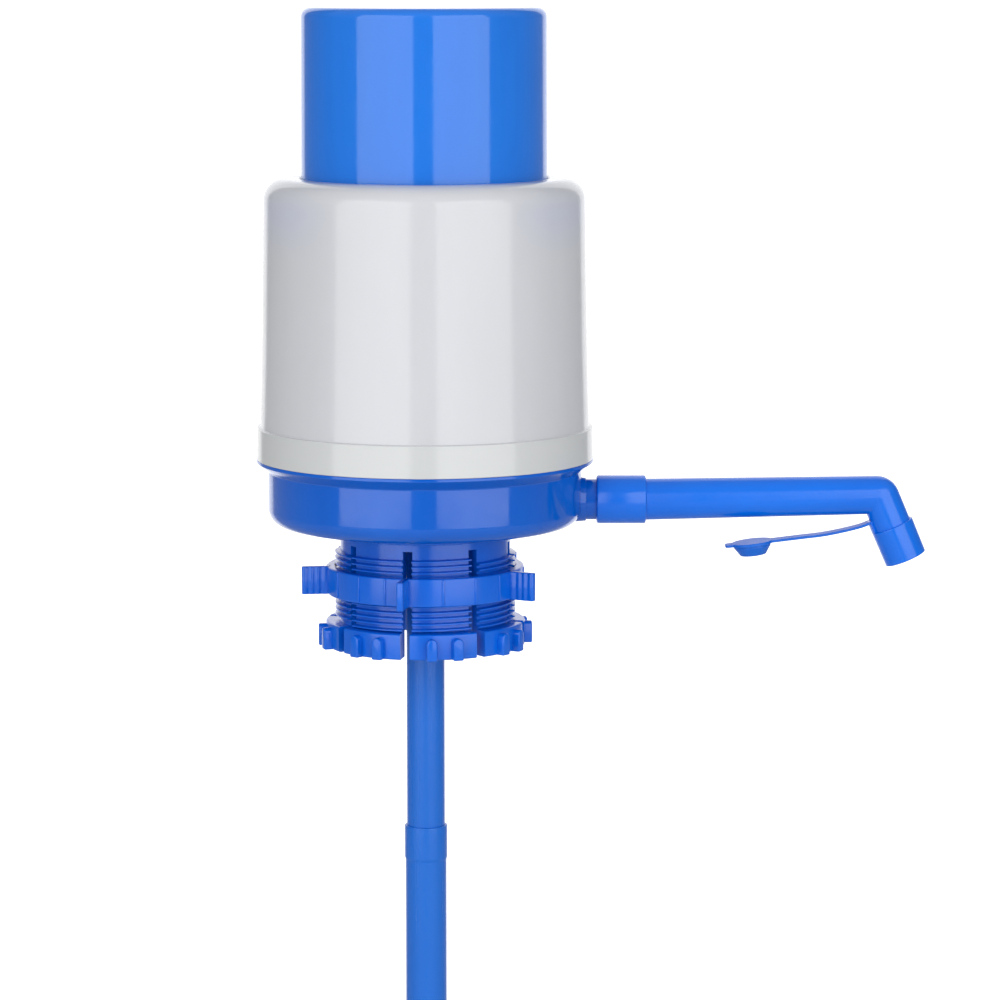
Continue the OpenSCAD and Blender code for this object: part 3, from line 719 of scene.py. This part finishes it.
tabShape = roundedOutline([
    (-plug["tab"], -plug["tabHalf"], plug["tabRound"]), (-plug["tabRoot"], -plug["tabHalf"]),
    (-plug["tabRoot"], plug["tabHalf"]), (-plug["tab"], plug["tabHalf"], plug["tabRound"])])
tabRings = [[(p.x, p.y, z) for p in tabShape] for z in (-plug["tabThick"] / 2, plug["tabThick"] / 2)]
fingerTab = bevelled(loftedMesh("fingerTab", tabRings, False, plugPlace), plug["tabEdge"])
pieceOf(joined("plugWithLid", [plugBody, fingerTab]), strapBlue, "plug", ("plug_cap",),
        finelySharp)
print("sleeve, strap and plug made")


# collet: crown, slotted fingers, thread and ribbed rim

collet = {"bore": 28.3, "boreRound": 0.5, "core": 31.0, "coreRound": 0.3, "crownTop": 4.9, "crownSteps": 160,
          "slotTop": -1.0, "slotHalf": 1.75, "fingers": 8, "firstFinger": 11.8, "fingerSteps": 20,
          "rimTop": -30.2, "rimFoot": -39.5, "rim": 36.4, "rimRound": 0.8,
          "pitch": 2.07, "ridgeFoot": -29.5, "ridgeTop": -4.4, "ridge": 1.15, "ridgeRoot": 0.3, "crest": 33.0,
          "crestHalf": 0.25, "crestRound": 0.12, "ridgeSteps": 16,
          "ribRoot": 34.0, "ribOut": 39.15, "ribWidth": 3.8, "ribHigh": 8.0, "ribSpread": 7.2, "ribEdge": 0.55}
fingerStep = 360 / collet["fingers"]
arcParts = 10


def fingerHalf(radius):
    # half the angle that a finger takes at a radius, in radians, between slots with parallel sides
    return math.radians(fingerStep / 2) - math.asin(collet["slotHalf"] / radius)


def ribPad(name, width, high, inner, outer, roundTop):
    # upright rib that stands out along X
    half = width / 2
    outline = [(-half, 0.0), (half, 0.0)]
    if roundTop:
        angles = [math.pi * k / arcParts for k in range(arcParts + 1)]
        outline += [(half * math.cos(a), high - half + half * math.sin(a)) for a in angles]
    else:
        outline += [(half, high), (-half, high)]
    return loftedMesh(name, [[(x, y, z) for y, z in outline] for x in (inner, outer)])


crown = turnedMesh("colletCrown", [
    (collet["bore"], collet["crownTop"]),
    (collet["core"], collet["crownTop"]),
    (collet["core"], collet["slotTop"]),
    (collet["bore"], collet["slotTop"])], collet["crownSteps"])
finger = sweptSector("colletFinger", [
    (collet["bore"], collet["slotTop"]),
    (collet["core"], collet["slotTop"]),
    (collet["core"], collet["rimTop"], collet["coreRound"]),
    (collet["rim"], collet["rimTop"], collet["rimRound"]),
    (collet["rim"], collet["rimFoot"], collet["rimRound"]),
    (collet["bore"], collet["rimFoot"], collet["boreRound"])], fingerHalf, collet["fingerSteps"])
fingers = repeated(finger, collet["fingers"], collet["firstFinger"], fingerStep, collarBlue)

# the thread is a run of short ridges, one on each finger in turn, an eighth of the pitch above the last
ridgeRoot = collet["core"] - collet["ridgeRoot"]
halfRidge = collet["ridge"] / 2
ridge = sweptSector("threadRidge", [
    (ridgeRoot, -halfRidge),
    (collet["core"], -halfRidge),
    (collet["crest"], -collet["crestHalf"], collet["crestRound"]),
    (collet["crest"], collet["crestHalf"], collet["crestRound"]),
    (collet["core"], halfRidge),
    (ridgeRoot, halfRidge)], fingerHalf, collet["ridgeSteps"], collet["pitch"])
rise = collet["pitch"] / collet["fingers"]
rows = round((collet["ridgeTop"] - collet["ridgeFoot"]) / rise) + 1
thread = repeated(ridge, rows, collet["firstFinger"] - 3 * fingerStep, fingerStep, collarBlue,
                  collet["ridgeFoot"], rise)

rimRib = bevelled(ribPad("rimRib", collet["ribWidth"], collet["ribHigh"], collet["ribRoot"], collet["ribOut"],
                         True), collet["ribEdge"], 3, squareEdge)
ribs = [repeated(rimRib, collet["fingers"], collet["firstFinger"] + side * collet["ribSpread"], fingerStep,
                 collarBlue, collet["rimFoot"]) for side in (-1, 1)]
pieceOf(joined("colletSleeve", [crown, fingers, thread, *ribs]), collarBlue, "pump",
        ("collet_sleeve",), finelySharp)
print("collet made")


# winged lock ring

ring = {"bore": 33.1, "boreEdges": (0.3, 0.2), "out": 36.0, "outEdge": 0.6, "foot": -20.3, "top": -10.1,
        "wings": 5, "firstWing": -100.7, "wingRoot": 34.5, "wingOut": 45.3, "wingThick": 2.6, "wingHigh": 10.2,
        "wingRound": 0.9, "wingEdge": 0.3,
        "grooves": 3, "grooveStart": 37.6, "grooveStep": 2.3, "grooveDeep": 0.25,
        "grooveCorners": (0.4, 1.0, 1.4),
        "gripTurns": (22.0, 42.0, 60.0), "gripRoot": 35.0, "gripOut": 36.35, "gripHigh": 9.4, "gripWidth": 1.0,
        "gripLift": 0.4, "gripEdge": 0.25}
wingStep = 360 / ring["wings"]
hoop = turnedMesh("lockRingHoop", [
    (ring["bore"], ring["foot"], ring["boreEdges"][0]),
    (ring["out"], ring["foot"], ring["outEdge"]),
    (ring["out"], ring["top"], ring["outEdge"]),
    (ring["bore"], ring["top"], ring["boreEdges"][1])])

# a wing's side with its grooves, as (radius, depth)
wingSide = []
for k in range(ring["grooves"]):
    start = ring["grooveStart"] + k * ring["grooveStep"]
    down, along, up = (start + step for step in ring["grooveCorners"])
    wingSide += [(start, 0.0), (down, ring["grooveDeep"]), (along, ring["grooveDeep"]), (up, 0.0)]
wingHalf = ring["wingThick"] / 2
wingShape = roundedOutline([
    (ring["wingRoot"], -wingHalf),
    *[(x, deep - wingHalf) for x, deep in wingSide],
    (ring["wingOut"], -wingHalf, ring["wingRound"]),
    (ring["wingOut"], wingHalf, ring["wingRound"]),
    *[(x, wingHalf - deep) for x, deep in wingSide[::-1]],
    (ring["wingRoot"], wingHalf)])
wingRings = [[(p.x, p.y, z) for p in wingShape] for z in (ring["foot"], ring["foot"] + ring["wingHigh"])]
wing = bevelled(loftedMesh("ringWing", wingRings), ring["wingEdge"], 2, squareEdge)
wings = repeated(wing, ring["wings"], ring["firstWing"], wingStep, collarBlue)

grip = bevelled(ribPad("gripRib", ring["gripWidth"], ring["gripHigh"], ring["gripRoot"], ring["gripOut"],
                       False), ring["gripEdge"], 2, squareEdge)
grips = [repeated(grip, ring["wings"], ring["firstWing"] + turn, wingStep, collarBlue,
                  ring["foot"] + ring["gripLift"]) for turn in ring["gripTurns"]]
pieceOf(joined("lockRing", [hoop, wings, *grips]), collarBlue, "ring", ("lock_ring",),
        finelySharp)
print("lock ring made")


# dip tube

dip = {"radius": 7.0, "wall": 1.0, "footRound": 0.2, "upperTop": 7.7, "upperLength": 127.0, "length": 170.0,
       "body": 7.55, "bodyRound": 0.5, "bell": 7.85, "bellDepth": 12.0, "bellRound": 0.5, "bellLip": 0.35,
       "bellPlay": 0.05, "step": 1.0, "stepRound": 0.3}
upperFoot = dip["upperTop"] - dip["upperLength"]
middleFoot = upperFoot + dip["bellDepth"] - dip["length"]
bore = dip["radius"] - dip["wall"]
pieceOf(turnedMesh("dipTubeUpper", [
    (bore, upperFoot),
    (dip["radius"], upperFoot, dip["footRound"]),
    (dip["radius"], dip["upperTop"]),
    (bore, dip["upperTop"])], smallSteps), tubeBlue, "pump", ("dip_tube_upper",))


def belledTube(name, foot):
    # the bell at the top takes the end of the section above
    top = foot + dip["length"]
    bodyFoot, bellFoot = foot + dip["bellDepth"], top - dip["bellDepth"]
    socket = dip["radius"] + dip["bellPlay"]
    return turnedMesh(name, [
        (bore, foot),
        (dip["radius"], foot, dip["footRound"]),
        (dip["radius"], bodyFoot, dip["stepRound"]),
        (dip["body"], bodyFoot + dip["step"], dip["bodyRound"]),
        (dip["body"], bellFoot - dip["step"], dip["bodyRound"]),
        (dip["bell"], bellFoot, dip["bellRound"]),
        (dip["bell"], top, dip["bellLip"]),
        (socket, top),
        (socket, bellFoot),
        (bore, bellFoot)], smallSteps)


pieceOf(belledTube("dipTubeMiddle", middleFoot), tubeBlue, "pump", ("dip_tube_middle",))
finishNode("dip_tube_lower", tubeBlue)
print("dip tube made")


# stage: a pale sweep with a lit patch behind the pump, in metres

sweep = {"front": -4.0, "flat": (0.2, 0.9), "back": 3.5, "round": 1.3, "top": 6.0, "side": 12.0, "gap": 0.0002,
         "glowAway": (0.6, 0.95), "glowSpread": (0.58, 0.68)}
floorZ = cadBox[0].z - sweep["gap"]
bendStart = sweep["back"] - sweep["round"]
bendAngles = [math.radians(a) for a in range(5, 91, 5)]
floorLine = [(y, 0.0) for y in (sweep["front"], *sweep["flat"], bendStart)]
floorLine += [(bendStart + sweep["round"] * math.sin(a), sweep["round"] - sweep["round"] * math.cos(a))
              for a in bendAngles]
floorLine += [(sweep["back"], sweep["top"])]
sweepPoints = [(x, y, floorZ + z) for x in (-sweep["side"], sweep["side"]) for y, z in floorLine]
count = len(floorLine)
sweepMesh = bpy.data.meshes.new("studioSweep")
sweepMesh.from_pydata(sweepPoints, [], [(i, i + count, i + count + 1, i + 1) for i in range(count - 1)])
sweepMesh.shade_smooth()
floor = bpy.data.objects.new("studioSweep", sweepMesh)
bpy.context.scene.collection.objects.link(floor)

floorFinish = bpy.data.materials.new("paleSweep")
floorFinish.use_nodes = True
graph = Graph(floorFinish.node_tree)
where = graph.make("ShaderNodeTexCoord", output="Object")
tone = graph.blend(graph.noise(where, 3.0, 3.0), paint(208, 208, 209), paint(203, 203, 204))
away = graph.along(where, 1)
behind = graph.ramp(away, *sweep["glowAway"])
middle = graph.remap(abs(graph.along(where, 0)) / abs(away), 1.0, 0.0, *sweep["glowSpread"])
glow = graph.blend(behind * middle, (0.02, 0.02, 0.02, 1.0), (1.0, 1.0, 1.0, 1.0))
matte = graph.make("ShaderNodeBsdfPrincipled", {}, {
    "Base Color": tone, "Roughness": 0.9, "Specular IOR Level": 0.1,
    "Emission Color": glow, "Emission Strength": 1.0})
graph.make("ShaderNodeOutputMaterial", {}, {"Surface": matte})
sweepMesh.materials.append(floorFinish)


# light: a faint even sky, brighter overhead, and two upright soft boxes

sky = {"colour": (0.97, 0.985, 1.0, 1.0), "level": 0.16, "overhead": 0.5, "overheadFrom": 0.9}
world = bpy.data.worlds.new("studioWorld")
bpy.context.scene.world = world
world.use_nodes = True
graph = Graph(world.node_tree)
height = graph.along(graph.make("ShaderNodeTexCoord", output="Generated"), 2)
strength = graph.remap(height, sky["level"], sky["overhead"], 0.0, sky["overheadFrom"])
air = graph.make("ShaderNodeBackground", {}, {"Color": sky["colour"], "Strength": strength})
graph.make("ShaderNodeOutputWorld", {}, {"Surface": air})

box = {"distance": 1.7, "wide": 1.75, "low": -0.34, "high": 1.5, "radiance": 2.1}


def softBox(name, azimuth):
    # azimuth 0 is the camera's side, positive to the right
    a = math.radians(azimuth)
    high = box["high"] - box["low"]
    data = bpy.data.lights.new(name, "AREA")
    data.shape = "RECTANGLE"
    data.size, data.size_y = box["wide"], high
    data.energy = box["radiance"] * math.pi * box["wide"] * high
    lamp = bpy.data.objects.new(name, data)
    middle = (box["low"] + box["high"]) / 2
    lamp.location = (math.sin(a) * box["distance"], -math.cos(a) * box["distance"], middle)
    lamp.rotation_mode = "QUATERNION"
    lamp.rotation_quaternion = Vector((-math.sin(a), math.cos(a), 0)).to_track_quat("-Z", "Y")
    bpy.context.scene.collection.objects.link(lamp)


softBox("softBoxLeft", -36.0)
softBox("softBoxRight", 36.5)


# camera, as the photo was taken

view = {"lens": 140.4, "sensor": 36.0, "distance": 1.423, "pitch": 8.0, "x": 0.0273, "z": 0.0135, "reach": 60.0}
cameraData = bpy.data.cameras.new("photoCamera")
cameraData.lens = view["lens"]
cameraData.sensor_width = view["sensor"]
cameraData.clip_end = view["reach"]
camera = bpy.data.objects.new("photoCamera", cameraData)
pitch = math.radians(view["pitch"])
camera.location = (view["x"], -view["distance"] * math.cos(pitch),
                   view["z"] + view["distance"] * math.sin(pitch))
camera.rotation_euler = (math.pi / 2 - pitch, 0, 0)
bpy.context.scene.collection.objects.link(camera)
bpy.context.scene.camera = camera
bpy.context.scene.view_settings.view_transform = "Standard"
print("stage, lights and camera made")
